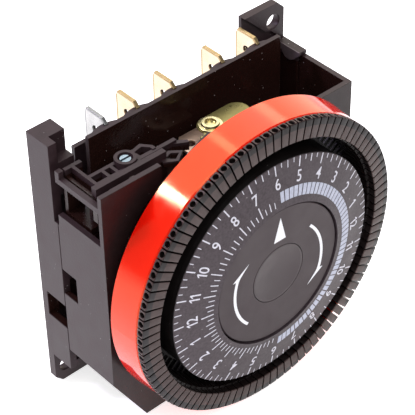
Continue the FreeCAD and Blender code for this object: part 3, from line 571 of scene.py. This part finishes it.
def night_band():
    """The pale blocks on the night half of the scale, with a wider gap at each hour."""
    blocks = []
    for step in range(NIGHT_BLOCKS):
        start = NIGHT_START + step * NIGHT_SPAN / NIGHT_BLOCKS
        gap = NIGHT_HOUR_GAP if step % 4 == 0 else NIGHT_GAP
        length = NIGHT_SPAN / NIGHT_BLOCKS - gap
        angles = [start + gap / 2 + length * part / 3 for part in range(4)]
        blocks.append([polar(NIGHT_INNER, degrees) for degrees in angles]
                      + [polar(NIGHT_OUTER, degrees) for degrees in reversed(angles)])
    printed("night_band", blocks, on_scale, "dial", BLUE_INK)


def digit_mesh(digit):
    """A digit in the plain built-in font, as thick as the ink."""
    curve = bpy.data.curves.new("digit", "FONT")
    curve.body = digit
    curve.align_y = "CENTER"
    curve.size = NUMERAL_SIZE
    curve.offset = NUMERAL_WEIGHT
    curve.extrude = INK_HALF
    curve.resolution_u = 4
    source = bpy.data.objects.new("digit_source", curve)
    mesh = bpy.data.meshes.new_from_object(source)
    bpy.data.objects.remove(source)
    bpy.data.curves.remove(curve)
    return mesh


def add_flag(form, left, top):
    """Adds the slanted flag at the top left of a 1."""
    right = left + FLAG_WIDTH + FLAG_OVERLAP
    corners = [(right, top), (left, top - FLAG_TIP[0]), (left, top - FLAG_TIP[1]),
               (right, top - FLAG_ROOT)]
    add_patch(form, [Vector((x, y, -INK_HALF)) for x, y in corners],
              [Vector((x, y, INK_HALF)) for x, y in corners])


def add_digit(form, digit, left):
    """Adds one digit to a mesh, with its left edge at left; gives its right edge."""
    first = len(form.verts)
    mesh = digit_mesh(digit)
    form.from_mesh(mesh)
    bpy.data.meshes.remove(mesh)
    form.verts.ensure_lookup_table()
    fresh = form.verts[first:]
    nearest = min(vertex.co.x for vertex in fresh)
    flag = FLAG_WIDTH if digit == "1" else 0.0
    for vertex in fresh:
        vertex.co.x += left + flag - nearest
    right = max(vertex.co.x for vertex in fresh)
    if flag:
        add_flag(form, left, max(vertex.co.y for vertex in fresh))
    return right


def numeral(text, degrees, order):
    """An hour number, standing on the scale with its top outward."""
    form = bmesh.new()
    edge = 0.0
    for digit in text:
        edge = add_digit(form, digit, edge) + NUMERAL_GAP
    middle = (edge - NUMERAL_GAP) / 2
    turn = math.radians(degrees)
    for vertex in form.verts:
        across = (vertex.co.x - middle) * NUMERAL_NARROW
        out = NUMERAL_RADIUS + vertex.co.y
        x = out * math.sin(turn) + across * math.cos(turn)
        z = out * math.cos(turn) - across * math.sin(turn)
        vertex.co = on_scale(x, z, vertex.co.z + INK_PROUD - INK_HALF)
    ink_piece(f"hour_{order}", form, "dial", SCALE_INK)


def numerals():
    """Hours run anticlockwise, twice round to twelve, with a six at the top."""
    for order in range(24):
        numeral(str((5 + order) % 12 + 1), NUMERAL_TURN - order * HOUR, order)


def arrow(turn):
    """The outline of a curved arrow whose tail widens towards its head."""
    inner, outer = [], []
    for step in range(ARROW_STEPS + 1):
        share = step / ARROW_STEPS
        radius = ARROW_RADIUS + ARROW_DRIFT * share + ARROW_FLARE * share ** 3
        half = ARROW_HALF + ARROW_SWELL * share
        degrees = ARROW_TAIL + (ARROW_NECK - ARROW_TAIL) * share + turn
        outer.append(polar(radius + half, degrees))
        inner.append(polar(radius - half, degrees))
    head = [polar(radius, degrees + turn) for radius, degrees in ARROW_HEAD]
    centre_x, centre_z = ARROW_CENTRE
    return [(x + centre_x, z + centre_z) for x, z in outer + head + inner[::-1]]


def pointer_print():
    """The white triangle and the two arrows."""
    printed("pointer_mark", [POINTER], on_pointer, "case", WHITE_INK)
    printed("turning_arrows", [arrow(0), arrow(180)], on_pointer, "case", WHITE_INK)


scale_ticks()
hour_ticks()
night_band()
numerals()
pointer_print()


# ------------------------------------------------------------------ camera, lights

VIEW_AZIMUTH = math.radians(-41.102)
VIEW_ELEVATION = math.radians(40.1)
VIEW_ROLL = math.radians(-1.021)
VIEW_TARGET = Vector((-16.95, -33.54, 25.66)) * MM
VIEW_DISTANCE = 308.78 * MM
LENS = 146.58

# The floor's sizes are in metres.
WORLD_LIGHT = 0.38
FLOOR_SIZE = 3.0
FLOOR_GLOW = 0.7
GLOW_NEAR, GLOW_FAR = 0.2, 0.4


def direction(azimuth, elevation):
    """The unit vector from the object towards a viewer at these angles."""
    return Vector((math.sin(azimuth) * math.cos(elevation),
                   -math.cos(azimuth) * math.cos(elevation), math.sin(elevation)))


def aim_camera():
    """Sets the camera at the photo's view, with its slight roll."""
    data = bpy.data.cameras.new("camera")
    data.lens = LENS
    data.sensor_width = 36.0
    data.clip_start = 0.01
    camera = bpy.data.objects.new("camera", data)
    bpy.context.scene.collection.objects.link(camera)
    back = direction(VIEW_AZIMUTH, VIEW_ELEVATION)
    across = Vector((math.cos(VIEW_AZIMUTH), math.sin(VIEW_AZIMUTH), 0))
    above = back.cross(across)
    right = math.cos(VIEW_ROLL) * across + math.sin(VIEW_ROLL) * above
    up = back.cross(right)
    place = VIEW_TARGET + back * VIEW_DISTANCE
    camera.matrix_world = Matrix((
        (right.x, up.x, back.x, place.x), (right.y, up.y, back.y, place.y),
        (right.z, up.z, back.z, place.z), (0, 0, 0, 1)))
    bpy.context.scene.camera = camera


def softbox(name, azimuth, elevation, distance, size, power, colour=(1, 1, 1)):
    """A rectangular light aimed at the object: angles in degrees, lengths in metres."""
    data = bpy.data.lights.new(name, "AREA")
    data.shape = "RECTANGLE"
    data.size, data.size_y = size
    data.energy = power
    data.color = colour
    lamp = bpy.data.objects.new(name, data)
    bpy.context.scene.collection.objects.link(lamp)
    back = direction(math.radians(azimuth), math.radians(elevation))
    centre = (cad_low + cad_high) / 2
    lamp.location = centre + back * distance
    lamp.rotation_mode = "QUATERNION"
    lamp.rotation_quaternion = back.to_track_quat("Z", "Y")


def studio():
    """White surroundings and the softboxes."""
    world = bpy.data.worlds.new("studio")
    world.use_nodes = True
    world.node_tree.nodes["Background"].inputs["Color"].default_value = (1, 1, 1, 1)
    world.node_tree.nodes["Background"].inputs["Strength"].default_value = WORLD_LIGHT
    bpy.context.scene.world = world
    softbox("back_light", 166, 58, distance=0.7, size=(1.15, 0.5), power=4.8)
    softbox("front_light", -25, 55, distance=0.7, size=(0.5, 0.4), power=2.4)
    softbox("side_light", -130.5, 45, distance=0.72, size=(0.065, 0.10), power=2.1,
            colour=(0.78, 0.66, 1.0))
    softbox("right_light", 122, 18, distance=0.7, size=(0.32, 0.52), power=1.1,
            colour=(1.0, 0.86, 0.62))
    softbox("strip_light", 161, 60.5, distance=0.6, size=(0.05, 0.2), power=0.12)


def floor():
    """A pale floor that glows near the object, so that its shadow stays faint."""
    bpy.ops.mesh.primitive_plane_add(size=FLOOR_SIZE, location=(0, 0, cad_low.z))
    ground = bpy.context.object
    ground.name = "floor"
    shader = Shader("floor_white").set(Specular_IOR_Level=0.2)
    shader.set(Emission_Color=(1.0, 1.0, 1.0, 1.0))
    x, y, _ = shader.axes()
    reach = shader.math("SQRT", shader.square_reach(x, y))
    glow = shader.ramp(reach, FLOOR_GLOW, 0.0, GLOW_NEAR, GLOW_FAR)
    shader.tree.links.new(glow, shader.principled.inputs["Emission Strength"])
    shader.tint(shader.noise(60.0, 2.0), (0.90, 0.90, 0.90), (0.93, 0.93, 0.93))
    shader.rough(shader.noise(20.0, 2.0), 0.7, 0.8)
    ground.data.materials.append(shader.material)


aim_camera()
bpy.context.scene.view_settings.view_transform = "Standard"
studio()
floor()
